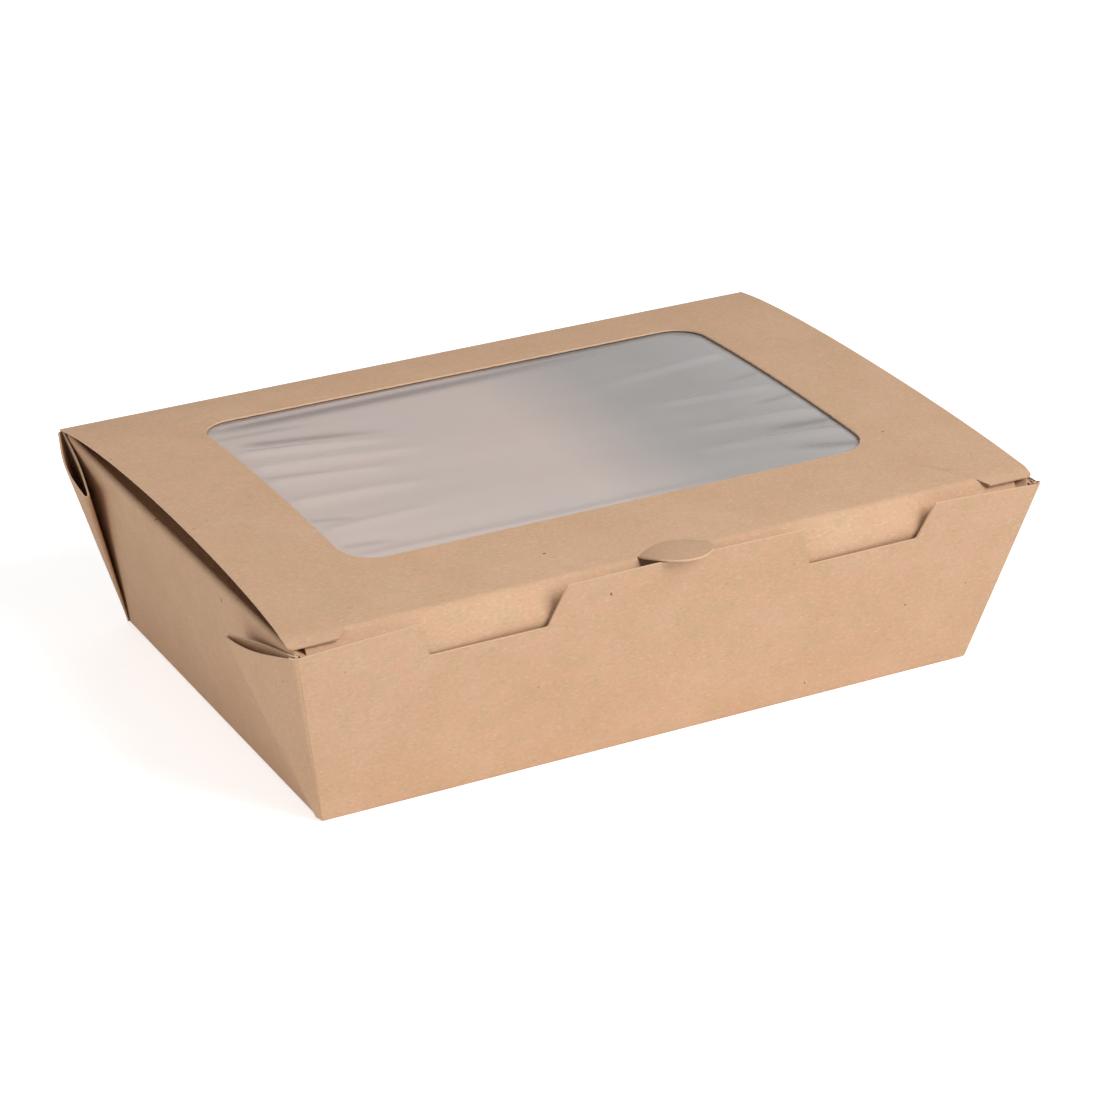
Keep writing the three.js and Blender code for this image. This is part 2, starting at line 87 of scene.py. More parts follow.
def joined(patches: list[Patch]) -> Patch:
    """Puts several patches into one.

    Args:
        patches: The patches, in order.

    Returns:
        One patch, with each face's indices moved past the vertices before it.
    """
    starts = np.cumsum([0] + [len(p.vertices) for p in patches[:-1]])
    faces = [p.faces + start for p, start in zip(patches, starts)]
    return Patch(np.concatenate([p.vertices for p in patches]), np.concatenate(faces),
                 np.concatenate([p.cut for p in patches]))


def unit(vectors: np.ndarray) -> np.ndarray:
    """Vectors scaled to length one, along the last axis."""
    length = np.linalg.norm(vectors, axis=-1, keepdims=True)
    return vectors / np.maximum(length, 1e-9)


def grid_normals(points: np.ndarray, wrap: bool) -> np.ndarray:
    """Unit normals of a grid of points: (step along rows) x (step along columns).

    Args:
        points: Array of rows x columns x 3.
        wrap: Whether the last column is followed by the first.

    Returns:
        An array of the same shape.
    """
    along = np.gradient(points, axis=0)
    if wrap:
        across = np.roll(points, -1, axis=1) - np.roll(points, 1, axis=1)
    else:
        across = np.gradient(points, axis=1)
    return unit(np.cross(along, across))


def slab(points: np.ndarray, thickness: float, normals: np.ndarray | None = None,
         wrap: bool = False) -> Patch:
    """A sheet of even thickness about a mid-surface: each point moved half the thickness
    along its normal, both ways, and the two faces closed along every free edge.

    Args:
        points: Array of rows x columns x 3, in millimetres.
        thickness: Thickness in millimetres.
        normals: Unit normals, if they are known exactly.
        wrap: Whether the columns close into a ring.

    Returns:
        The closed patch, with its first face on the side of the normals.
    """
    if normals is None:
        normals = grid_normals(points, wrap)
    offset = normals * thickness / 2
    rows, columns = points.shape[:2]
    vertices = np.concatenate([(points + offset).reshape(-1, 3), (points - offset).reshape(-1, 3)])
    index = np.arange(rows * columns).reshape(rows, columns)
    if wrap:
        index = np.concatenate([index, index[:, :1]], axis=1)
    far = index + rows * columns
    a, b, c, d = index[:-1, :-1], index[1:, :-1], index[1:, 1:], index[:-1, 1:]
    count = rows * columns
    faces = [(a, b, c, d), (a + count, d + count, c + count, b + count)]
    faces.append((index[0, :-1], index[0, 1:], far[0, 1:], far[0, :-1]))
    faces.append((index[-1, :-1], far[-1, :-1], far[-1, 1:], index[-1, 1:]))
    if not wrap:
        faces.append((index[:-1, 0], far[:-1, 0], far[1:, 0], index[1:, 0]))
        faces.append((index[:-1, -1], index[1:, -1], far[1:, -1], far[:-1, -1]))
    quads = [np.stack([np.ravel(corner) for corner in face], axis=1) for face in faces]
    cut = np.repeat([0.0, 0.0] + [1.0] * (len(quads) - 2), [len(q) for q in quads])
    return Patch(vertices, np.concatenate(quads), cut)


def mirrored(patch: Patch, x: int = 1, y: int = 1) -> Patch:
    """A patch mirrored where a sign is -1, with its faces turned so that they still point out."""
    faces = patch.faces if x * y > 0 else patch.faces[:, ::-1]
    return Patch(patch.vertices * np.array([x, y, 1]), faces, patch.cut)


def smooth_step(values: np.ndarray) -> np.ndarray:
    """0 below 0, 1 above 1 and a smooth rise between."""
    t = np.clip(values, 0, 1)
    return t * t * (3 - 2 * t)


def arc_between(centre: np.ndarray, radius: float, first: float, last: float,
                steps: int) -> np.ndarray:
    """Points on a circle in the plane, from one angle to another.

    Args:
        centre: The circle's centre.
        radius: Its radius.
        first: First angle in radians.
        last: Last angle in radians.
        steps: Number of steps between them.

    Returns:
        Array of (steps + 1) x 2.
    """
    angle = np.linspace(first, last, steps + 1)
    return centre + radius * np.stack([np.cos(angle), np.sin(angle)], axis=1)


def make_piece(name: str, patch: Patch, material: bpy.types.Material, body: Body,
               node: str, crease_angle: float = 38.0) -> bpy.types.Object:
    """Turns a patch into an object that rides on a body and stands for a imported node.

    Args:
        name: The object's name.
        patch: Its mesh data.
        material: Its finish.
        body: The body that it rides on.
        node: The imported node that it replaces.
        crease_angle: Edges sharper than this many degrees stay sharp.

    Returns:
        The object.
    """
    mesh = bpy.data.meshes.new(name)
    mesh.from_pydata((patch.vertices * MM).tolist(), [], patch.faces.tolist())
    mesh.attributes.new("cut", "FLOAT", "FACE").data.foreach_set("value", patch.cut)
    mesh.polygons.foreach_set("use_smooth", np.ones(len(mesh.polygons), bool))
    mesh.set_sharp_from_angle(angle=math.radians(crease_angle))
    mesh.materials.append(material)
    mesh.update()
    piece = bpy.data.objects.new(name, mesh)
    bpy.context.scene.collection.objects.link(piece)
    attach(piece, body.value)
    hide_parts(node)
    LOG.info("%s: %d faces", name, len(mesh.polygons))
    return piece


# Finishes


def feed(node: bpy.types.Node, inputs: dict[str | int, object]) -> None:
    """Fills a node's inputs.

    Args:
        node: The node.
        inputs: A socket to join or a value to set, by the input's name or number.
    """
    for name, value in inputs.items():
        if isinstance(value, Socket):
            node.id_data.links.new(value, node.inputs[name])
        else:
            node.inputs[name].default_value = value


def add_node(tree: bpy.types.NodeTree, kind: str, inputs: dict[str | int, object],
             mode: str = "") -> bpy.types.Node:
    """Adds a node to a tree.

    Args:
        tree: The node tree.
        kind: The node's kind.
        inputs: What goes into it.
        mode: A math node's operation or a mix node's data type.

    Returns:
        The node.
    """
    node = tree.nodes.new("ShaderNode" + kind)
    if kind == "Math":
        node.operation = mode
    elif kind == "Mix":
        node.data_type = mode
    feed(node, inputs)
    return node


class Shader:
    """A material under construction, with short calls for the nodes used here."""

    def __init__(self, name: str) -> None:
        """Starts an empty material with its shader and output."""
        self.material = bpy.data.materials.new(name)
        self.material.use_nodes = True
        self.tree = self.material.node_tree
        self.tree.nodes.clear()
        self.surface = add_node(self.tree, "BsdfPrincipled", {})
        add_node(self.tree, "OutputMaterial", {"Surface": self.surface.outputs["BSDF"]})
        self.place = add_node(self.tree, "TexCoord", {}).outputs["Object"]

    def noise(self, scale: float, stretch: tuple[float, float, float] = (1, 1, 1),
              detail: float = 3.0, shift: float = 0.0) -> Socket:
        """Noise on Object coordinates.

        Args:
            scale: Repeats per metre.
            stretch: Factor on each axis, below 1 to draw the pattern out.
            detail: Octaves.
            shift: Moves the pattern, so that two noises differ.

        Returns:
            The noise's value, about 0.5.
        """
        mapping = add_node(self.tree, "Mapping", {
            "Scale": stretch, "Location": (shift, shift, shift), "Vector": self.place})
        node = add_node(self.tree, "TexNoise", {
            "Scale": scale, "Detail": detail, "Vector": mapping.outputs["Vector"]})
        return node.outputs["Fac"]

    def attribute(self, name: str) -> Socket:
        """A value kept on the mesh."""
        node = add_node(self.tree, "Attribute", {})
        node.attribute_name = name
        return node.outputs["Fac"]

    def axis(self, name: str) -> Socket:
        """One of the Object coordinates."""
        return add_node(self.tree, "SeparateXYZ", {"Vector": self.place}).outputs[name]

    def span(self, value: Socket, first: float, last: float, top: float = 1.0) -> Socket:
        """A value carried from one range to another, and kept within it.

        Args:
            value: The value.
            first: What becomes 0.
            last: What becomes the top.
            top: The largest value that comes out.

        Returns:
            The value in its new range.
        """
        node = add_node(self.tree, "MapRange", {
            "From Min": first, "From Max": last, "To Max": top, "Value": value})
        return node.outputs["Result"]

    def add(self, first: Socket, second: Socket) -> Socket:
        """The sum of two values."""
        return add_node(self.tree, "Math", {0: first, 1: second}, "ADD").outputs["Value"]

    def mix(self, factor: Socket, low: Colour | Socket, high: Colour) -> Socket:
        """A colour turned towards another by a factor.

        Args:
            factor: From 0 to 1.
            low: The colour at 0, plain or worked out so far.
            high: The colour at 1.

        Returns:
            The colour.
        """
        start = (*low, 1) if isinstance(low, tuple) else low
        node = add_node(self.tree, "Mix", {"Factor": factor, "A": start, "B": (*high, 1)}, "RGBA")
        return node.outputs["Result"]

    def bump(self, height: Socket, distance: float) -> None:
        """Gives the surface a bump.

        Args:
            height: Height from 0 to 1.
            distance: Height of 1, in metres.
        """
        node = add_node(self.tree, "Bump", {"Strength": 1.0, "Distance": distance, "Height": height})
        feed(self.surface, {"Normal": node.outputs["Normal"]})


@dataclass(frozen=True)
class KraftFinish:
    """Uncoated brown kraft board: clouded tone, fine mottling, short fibres, a few specks, and cut edges
    made paler, partly for the board's paler core and partly as a painted highlight.
    """

    light: Colour = (0.632, 0.408, 0.262)
    dark: Colour = (0.588, 0.368, 0.226)
    red_mottle: Colour = (0.640, 0.385, 0.250)
    green_mottle: Colour = (0.560, 0.380, 0.225)
    dark_fibre: Colour = (0.440, 0.270, 0.155)
    pale_fibre: Colour = (0.800, 0.600, 0.440)
    speck: Colour = (0.100, 0.050, 0.025)
    # cut: colour of the cut edges, partly the board's paler core and partly a painted highlight
    cut: Colour = (0.690, 0.470, 0.315)
    roughness: float = 0.80
    gloss: float = 0.25
    tooth: float = 0.00006

    def build(self, name: str) -> bpy.types.Material:
        """Makes the material.

        Args:
            name: The material's name.

        Returns:
            The material, all of it on Object coordinates.
        """
        shader = Shader(name)
        fibres = shader.noise(1900, stretch=(0.45, 1, 1))
        colour = self.dark
        for noise, first, last, top, tint in (
                (shader.noise(60), 0.3, 0.7, 1.0, self.light),
                (shader.noise(170, shift=3.3), 0.48, 0.66, 0.55, self.red_mottle),
                (shader.noise(230, shift=7.9), 0.50, 0.68, 0.6, self.green_mottle),
                (fibres, 0.52, 0.74, 0.34, self.dark_fibre),
                (shader.noise(1600, stretch=(0.55, 1, 1), shift=4.1), 0.53, 0.76, 0.32,
                 self.pale_fibre),
                (shader.noise(700, detail=0, shift=1.7), 0.880, 0.895, 0.8, self.speck)):
            colour = shader.mix(shader.span(noise, first, last, top), colour, tint)
        # Cut edges made paler: partly the board's paler core, partly a painted highlight.
        colour = shader.mix(shader.attribute("cut"), colour, self.cut)
        feed(shader.surface, {"Base Color": colour, "Roughness": self.roughness,
                              "Specular IOR Level": self.gloss})
        shader.bump(shader.add(fibres, shader.noise(1000, detail=2, shift=2.3)), self.tooth)
        return shader.material


@dataclass(frozen=True)
class FilmFinish:
    """Thin clear film, hazy and glossy, cooler towards its right end, with painted shade along its
    folds.
    """

    warm: Colour = (0.760, 0.625, 0.560)
    cool: Colour = (0.460, 0.435, 0.420)
    pale: Colour = (0.640, 0.600, 0.590)
    # fold: colour of the painted shade along the film's folds
    fold: Colour = (0.200, 0.150, 0.135)
    cool_span: tuple[float, float] = (0.000, 0.030)
    pale_span: tuple[float, float] = (0.052, 0.085)
    opacity: float = 0.55
    roughness: float = 0.18
    gloss: float = 0.9
    ripple: float = 0.00003

    def build(self, name: str) -> bpy.types.Material:
        """Makes the material.

        Args:
            name: The material's name.

        Returns:
            The material.
        """
        shader = Shader(name)
        along = shader.axis("X")
        colour = shader.mix(shader.span(along, *self.cool_span), self.warm, self.cool)
        colour = shader.mix(shader.span(along, *self.pale_span), colour, self.pale)
        cloud = shader.noise(38, stretch=(0.5, 1, 1), detail=2)
        colour = shader.mix(shader.span(cloud, 0.35, 0.7, 0.25), colour, self.pale)
        # Painted shade along the film's folds, from the mesh's shade values.
        colour = shader.mix(shader.attribute("shade"), colour, self.fold)
        feed(shader.surface, {"Base Color": colour, "Roughness": self.roughness,
                              "Specular IOR Level": self.gloss, "Alpha": self.opacity})
        shader.bump(shader.noise(120, stretch=(0.3, 1, 1), detail=1), self.ripple)
        return shader.material


# Sizes shared by tray and lid


@dataclass(frozen=True)
class Blank:
    """Driving sizes of the folded blank, in millimetres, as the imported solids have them."""

    board: float = 0.45
    clearance: float = 0.3
    base_length: float = 177.0
    base_depth: float = 117.2
    rim_length: float = 200.0
    rim_depth: float = 142.2
    rim_height: float = 50.3

    @property
    def middle(self) -> float:
        """Height of the base's mid-plane."""
        return self.board / 2

    @property
    def rise(self) -> float:
        """Height from the base's mid-plane to the rim."""
        return self.rim_height - self.middle

    @property
    def front_run(self) -> float:
        """How far the front and back walls lean out."""
        return (self.rim_depth - self.base_depth) / 2

    @property
    def side_run(self) -> float:
        """How far the side walls lean out."""
        return (self.rim_length - self.base_length) / 2

    @property
    def front_lean(self) -> float:
        """Angle of the front and back walls to the vertical."""
        return math.atan2(self.front_run, self.rise)

    @property
    def front_slant(self) -> float:
        """Length of the front and back walls up their slant."""
        return math.hypot(self.rise, self.front_run)


# Tray


@dataclass
class Tray:
    """The tray: one blank folded into base, walls, doubled web corners and dust flaps."""

    blank: Blank
    base_radius: float = 0.8
    front_arch: float = 3.4
    back_lean_share: float = 0.994
    roll_end_margin: float = 0.6
    roll_set_in: float = 0.05
    notch_centre: float = 50.8
    notch_top: float = 38.0
    notch_bottom: float = 30.5
    notch_floor: float = 43.4
    notch_radius: float = 1.0
    web_fold: float = 49.6
    web_spring: float = math.radians(11.9)
    web_outer_belly: float = 1.45
    web_inner_belly: float = 0.5
    web_corner_radius: float = 1.5
    web_nose_radius: float = 0.6
    web_blunt: float = 1.3
    web_blunt_out: float = 0.2
    web_hairpin_radius: float = 0.25
    web_hairpin_lead: float = 0.5
    web_set_in: float = 0.07
    side_arch: float = 0.2
    side_belly: float = 0.8
    side_top_bow: float = 1.0
    dust_fold_radius: float = 0.9
    dust_fold_end_radius: float = 0.5
    dust_fall: float = math.radians(46)
    dust_settle: float = 4.5
    dust_reach: float = 27.0
    dust_shoulder: float = 6.5
    dust_free_half: float = 53.0
    dust_end_gap: float = 1.6
    dust_corner_radius: float = 9.0
    slit_from_rim: float = 14.8
    slit_half_width: float = 64.3
    hinge_height: float = 0.0

    def corner_axes(self) -> tuple[np.ndarray, np.ndarray, np.ndarray, float]:
        """Axes of the front left web corner.

        Returns:
            The crease's direction from the base's corner, the folded web's direction across
            it, the web's outward normal, and the crease's length.
        """
        blank = self.blank
        crease = np.array([-blank.side_run, -blank.front_run, blank.rise])
        length = float(np.linalg.norm(crease))
        crease = crease / length
        wall_out = unit(np.array([-blank.rise, 0.0, -blank.side_run]))
        inward = np.array([0.0, 1.0, 0.0])
        inward = unit(inward - inward.dot(crease) * crease)
        across = inward * math.cos(self.web_spring) + wall_out * math.sin(self.web_spring)
        out = wall_out * math.cos(self.web_spring) - inward * math.sin(self.web_spring)
        return crease, across, out, length

    def web_half_angle(self) -> float:
        """Half the angle that the flat blank's web has at the base's corner."""
        blank = self.blank
        front_flare = math.atan2(blank.side_run, blank.front_slant)
        side_flare = math.atan2(blank.front_run, math.hypot(blank.rise, blank.side_run))
        return (math.pi / 2 - front_flare - side_flare) / 2

    def web_edge(self) -> np.ndarray:
        """The top edge of the front left web corner, as offsets from the base's corner.

        Along the edge come the bend off the front wall, the outer layer, the round nose of
        the diagonal fold, the inner layer and the hairpin on to the side wall. A layer's
        edge is the straight cut between rim and tip, bellied by a half sine.

        Returns:
            Array of points x 3.
        """
        crease, across, out, length = self.corner_axes()
        angle = self.web_half_angle()
        plane = np.stack([across, out])
        front = np.array([1.0, 0.0, 0.0])
        front = unit(front - front.dot(crease) * crease)
        turn = math.pi - math.acos(float(front @ across))
        setback = self.web_corner_radius * math.tan(turn / 2)
        bend = arc_between(np.array([setback, -self.web_corner_radius]), self.web_corner_radius,
                           math.pi / 2 + turn, math.pi / 2, 7)
        start = setback / length

        def layer(first: float, last: float, belly: float, drop: float) -> np.ndarray:
            """One layer's edge between two angles about the base's corner."""
            bend_angle = np.linspace(first, last, 29)
            reach = length * self.web_fold * math.sin(angle) / (
                length * np.sin(bend_angle) + self.web_fold * np.sin(angle - bend_angle))
            share = np.clip((bend_angle - start) / (angle - start), 0, 1)
            lift = belly * np.sin(np.pi * share) - drop
            return (reach * np.cos(bend_angle))[:, None] * crease \
                + (reach * np.sin(bend_angle))[:, None] * across + lift[:, None] * out

        nose_turn = np.linspace(0, math.pi, 11)[1:-1]
        nose = self.web_nose_radius
        tip = self.web_fold * (math.cos(angle) * crease + math.sin(angle) * across)
        past = math.cos(angle) * across - math.sin(angle) * crease
        nose_points = tip + nose * np.sin(nose_turn)[:, None] * past \
            + nose * (np.cos(nose_turn) - 1)[:, None] * out
        centre = np.array([self.web_hairpin_lead, -2 * nose - self.web_hairpin_radius])
        hairpin = arc_between(centre, self.web_hairpin_radius, math.pi / 2,
                              1.5 * math.pi - self.web_spring, 8)
        inner_start = self.web_hairpin_lead / length
        return np.concatenate([
            length * crease + bend @ plane,
            layer(start, angle, self.web_outer_belly, 0.0)[1:],
            nose_points,
            layer(angle, inner_start, -self.web_inner_belly, 2 * nose)[:-1],
            length * crease + hairpin @ plane,
        ])

    def web_corners(self) -> list[Patch]:
        """The four web corners: straight lines from the base's corner to the top edge.

        Returns:
            The four closed patches.
        """
        foot = np.array([-self.blank.base_length / 2, -self.blank.base_depth / 2,
                         self.blank.middle])
        share = np.linspace(0.012, 1, 30)[::-1, None, None]
        edge = self.web_edge()
        _, across, out, _ = self.corner_axes()
        off = edge @ across / np.max(edge @ across)
        blunt = self.web_blunt * (across + self.web_blunt_out * out) \
            * np.clip(off, 0, 1)[:, None] ** 2
        points = foot + share * edge + (1 - share) * blunt
        points[..., 1] += self.web_set_in
        corner = slab(points[:, ::-1], self.blank.board)
        return [mirrored(corner, x, y) for x in (1, -1) for y in (1, -1)]

    def front_rim(self) -> np.ndarray:
        """The front wall's top boundary as (place along the wall, height up the slant).

        The rim is a parabola above the corners; each notch is a trapezoid cut into it with
        small round corners.

        Returns:
            Array of points x 2, from left to right.
        """
        blank = self.blank
        half = blank.rim_length / 2

        def rim(x: np.ndarray) -> np.ndarray:
            """Points on the rim's parabola."""
            x = np.asarray(x, float)
            return np.stack([x, blank.front_slant + self.front_arch * (1 - (x / half) ** 2)], -1)

        top, bottom = self.notch_top / 2, self.notch_bottom / 2
        inner_top = rim([self.notch_centre - top])[0]
        outer_top = rim([self.notch_centre + top])[0]
        inner_foot = np.array([self.notch_centre - bottom, self.notch_floor])
        outer_foot = np.array([self.notch_centre + bottom, self.notch_floor])
        right = np.concatenate([
            rim(np.linspace(0, inner_top[0], 18)),
            rounded_corner(inner_top, inner_foot, outer_foot, self.notch_radius),
            rounded_corner(inner_foot, outer_foot, outer_top, self.notch_radius),
            rim(np.linspace(outer_top[0], half, 18)),
        ])
        return np.concatenate([right[:0:-1] * np.array([-1, 1]), right])

    def long_strip(self) -> Patch:
        """Front wall, base and back wall: one strip with two soft creases.

        Returns:
            The closed patch.
        """
        blank = self.blank
        edge = self.web_edge()
        half_base = blank.base_length / 2
        flare = abs(edge[0, 0]) / edge[0, 2] * blank.rise
        rim = self.front_rim()
        scale = half_base + flare * rim[:, 1] / blank.front_slant
        across = rim[:, 0] / (half_base + blank.side_run * rim[:, 1] / blank.front_slant)
        setback = self.base_radius * math.tan((math.pi / 2 - blank.front_lean) / 2)
        side_setback = self.base_radius * math.tan(
            (math.pi / 2 - math.atan2(blank.side_run, blank.rise)) / 2)
        columns = len(across)

        def wall_row(slant: np.ndarray, end: int) -> np.ndarray:
            """One row of a wall at the given heights up its slant.

            The back wall stands upright from just below the rim, under the lid's crease.
            """
            share = slant / blank.front_slant
            x = across * (half_base + flare * share)
            leaning = np.minimum(share, self.back_lean_share) if end > 0 else share
            y = end * (blank.base_depth / 2 + blank.front_run * leaning)
            return np.stack([x, y, blank.middle + blank.rise * share], axis=1)

        front_rows = [wall_row(setback + (rim[:, 1] - setback) * share, -1)
                      for share in np.linspace(1, 0, 15)]
        full = np.full(columns, blank.front_slant + self.hinge_lift())
        back_rows = [wall_row(setback + (full - setback) * share, 1)
                     for share in np.linspace(0, 1, 12)]
        turns = np.linspace(math.pi / 2 - blank.front_lean, 0, 7)[1:]
        centre = blank.base_depth / 2 - setback
        bends = []
        for turn in turns:
            x = across * (half_base - side_setback * (1 - turn / turns[0]))
            y = np.full(columns, -centre - self.base_radius * math.sin(turn))
            z = np.full(columns, blank.middle + self.base_radius * (1 - math.cos(turn)))
            bends.append(np.stack([x, y, z], axis=1))
        base_rows = [bends[-1] * np.array([1, 1 - 2 * share, 1])
                     for share in np.linspace(0, 1, 13)[1:-1]]
        back_bends = [row * np.array([1, -1, 1]) for row in bends[::-1]]
        rows = front_rows + bends + base_rows + back_bends + back_rows
        return slab(np.stack(rows), blank.board)

    def hinge_lift(self) -> float:
        """How much further up the slant the back wall goes, to the lid's crease."""
        return (self.hinge_height - self.blank.rim_height) / math.cos(self.blank.front_lean)

    def dust_half_width(self, reach: np.ndarray) -> np.ndarray:
        """Half the dust flap's width at a distance from the rim.

        Straight at the shoulder, then one taper to the slit and one to the free edge,
        whose corners are quarter circles.

        Args:
            reach: Distances from the rim.

        Returns:
            Half widths.
        """
        root = self.blank.rim_depth / 2 - self.dust_end_gap
        knots = [0, self.dust_shoulder, self.slit_from_rim, self.dust_reach]
        width = np.interp(reach, knots, [root, root, self.slit_half_width, self.dust_free_half])
        into = np.clip(reach - (self.dust_reach - self.dust_corner_radius), 0, None)
        radius = self.dust_corner_radius
        return width - (radius - np.sqrt(np.clip(radius ** 2 - into ** 2, 0, None)))

    def side_strip(self) -> Patch:
        """The right side wall, its soft top fold and its dust flap, as one strip.

        The wall bows out by a half sine up its height. The flap leaves the fold downwards, and
        its heading dies away as the exponential of the distance from the fold.

        Returns:
            The closed patch.
        """
        blank = self.blank
        last = self.web_edge()[-1]
        run_x, run_y = np.abs(last[:2]) / last[2] * blank.rise
        lean = math.atan2(run_x, blank.rise)
        across = np.sin(np.linspace(-math.pi / 2, math.pi / 2, 61))
        half_base = blank.base_length / 2
        setback = self.base_radius * math.tan((math.pi / 2 - lean) / 2)
        rows = []
        turns = np.linspace(0, math.pi / 2 - lean, 7)
        front_setback = self.base_radius * math.tan((math.pi / 2 - blank.front_lean) / 2)
        for turn in turns[:-1]:
            half = blank.base_depth / 2 - front_setback * (1 - turn / turns[-1])
            rows.append(np.stack([
                np.full(across.shape, half_base - setback + self.base_radius * math.sin(turn)),
                across * half,
                np.full(across.shape, blank.middle + self.base_radius * (1 - math.cos(turn))),
            ], axis=1))
        half_rim = blank.base_depth / 2 + run_y
        arch = self.side_arch * (1 - across ** 2)
        fold = self.dust_fold_end_radius + (self.dust_fold_radius - self.dust_fold_end_radius) \
            * (1 - across ** 6)
        fold_setback = fold * math.tan((math.pi / 2 + lean) / 2)
        low = setback * math.cos(lean)
        high = blank.rise + arch - fold_setback * math.cos(lean)
        for share in np.linspace(0, 1, 16):
            height = low + (high - low) * share
            ratio = height / blank.rise
            belly = (1 - across ** 6) * (self.side_belly * np.sin(np.clip(ratio, 0, 1) * math.pi)
                                         + self.side_top_bow * smooth_step(ratio))
            rows.append(np.stack([
                half_base + run_x * ratio + belly,
                across * (blank.base_depth / 2 + run_y * np.minimum(ratio, 1)),
                blank.middle + height,
            ], axis=1))
        crease_x = half_base + run_x * (1 + arch / blank.rise) + self.side_top_bow * (1 - across ** 6)
        crease_z = blank.rim_height + arch
        for turn in np.linspace(-lean, math.pi / 2 + self.dust_fall, 12)[1:]:
            inward = 1 - self.dust_end_gap / half_rim * smooth_step(np.array((turn + lean) * 2))
            rows.append(np.stack([
                crease_x - fold_setback + fold * math.cos(turn),
                across * half_rim * inward,
                crease_z - fold + fold * math.sin(turn),
            ], axis=1))
        reach = self.dust_reach - self.dust_corner_radius
        stations = np.concatenate([
            np.linspace(self.dust_fold_radius * 2, reach, 17),
            reach + self.dust_corner_radius * np.sin(np.linspace(0, math.pi / 2, 9)[1:]),
        ])
        last_x, last_z = rows[-1][:, 0], rows[-1][:, 2]
        travel = np.linspace(0, self.dust_reach, 400)
        heading = self.dust_fall * np.exp(-travel / self.dust_settle)
        inward, down = np.cumsum(np.cos(heading)), np.cumsum(np.sin(heading))
        for station in stations:
            place = station - stations[0] + 0.4
            rows.append(np.stack([
                last_x - np.interp(place, travel, inward) * travel[1],
                across * self.dust_half_width(np.array(station)),
                last_z - np.interp(place, travel, down) * travel[1]], axis=1))
        return slab(np.stack(rows)[:, ::-1], blank.board)

    def crease_roll(self) -> Patch:
        """The round top of the back crease, about the lid's own axis."""
        blank = self.blank
        return rod(blank.rim_length / 2 - self.roll_end_margin, blank.board / 2,
                   blank.rim_depth / 2 - self.roll_set_in, self.hinge_height)

    def build(self, material: bpy.types.Material) -> bpy.types.Object:
        """Makes the tray's piece.

        Args:
            material: Its finish.

        Returns:
            The object.
        """
        side = self.side_strip()
        patches = [self.long_strip(), side, mirrored(side, x=-1), self.crease_roll()]
        patches += self.web_corners()
        return make_piece("tray_board", joined(patches), material, Body.TRAY, "tray")


def outline_round(corners: list[np.ndarray], sides: dict[int, np.ndarray]) -> np.ndarray:
    """A closed outline: each corner's points, then the run of points to the next corner.

    Args:
        corners: The four corners' points, from the front left one anticlockwise.
        sides: Runs that are not straight, by the corner that they follow.

    Returns:
        Array of points x 2.
    """
    parts = []
    for k, corner in enumerate(corners):
        start, end = corner[-1], corners[(k + 1) % 4][0]
        share = np.linspace(0, 1, OUTLINE_STEPS[k % 2])[1:-1, None]
        parts += [corner, sides[k] if k in sides else start + (end - start) * share]
    return np.concatenate(parts)


def rounded_corner(before: np.ndarray, corner: np.ndarray, after: np.ndarray,
                   radius: float, steps: int = 5) -> np.ndarray:
    """A corner of an outline rounded by a parabola between its two tangent points.

    Args:
        before: The point before the corner.
        corner: The corner.
        after: The point after it.
        radius: The rounding's radius.
        steps: Number of steps along it.

    Returns:
        Array of (steps + 1) x 2.
    """
    first, second = unit(before - corner), unit(after - corner)
    half = math.acos(float(np.clip(first @ second, -1, 1))) / 2
    setback = radius / math.tan(half)
    start, end = corner + first * setback, corner + second * setback
    t = np.linspace(0, 1, steps + 1)[:, None]
    return (1 - t) ** 2 * start + 2 * t * (1 - t) * corner + t ** 2 * end


def rod(half: float, radius: float, y: float, z: float, around: int = 16) -> Patch:
    """A round rod along the box: circles of points, with small flat ends.

    Args:
        half: Half its length.
        radius: Its radius.
        y: Its place across the box.
        z: Its height.
        around: Points on each circle.

    Returns:
        The closed patch.
    """
    turn = np.arange(around) * 2 * math.pi / around
    stations = np.array([-half, -half, half, half])[:, None]
    radii = np.array([0.02, radius, radius, 0.02])[:, None]
    points = np.stack([np.broadcast_to(stations, (4, around)), y + radii * np.cos(turn),
                       z + radii * np.sin(turn)], axis=-1)
    index = np.arange(4 * around).reshape(4, around)
    ring = np.concatenate([index, index[:, :1]], axis=1)
    quads = np.stack([x.ravel() for x in (ring[:-1, :-1], ring[1:, :-1], ring[1:, 1:],
                                          ring[:-1, 1:])], axis=1)
    up = np.arange(around // 2 - 1)
    cap = np.stack([up, up + 1, around - 2 - up, around - 1 - up], axis=1)
    faces = np.concatenate([quads, index[0][cap], index[-1][cap[:, ::-1]]])[:, ::-1]
    return Patch(points.reshape(-1, 3), faces, np.zeros(len(faces)))


# Lid


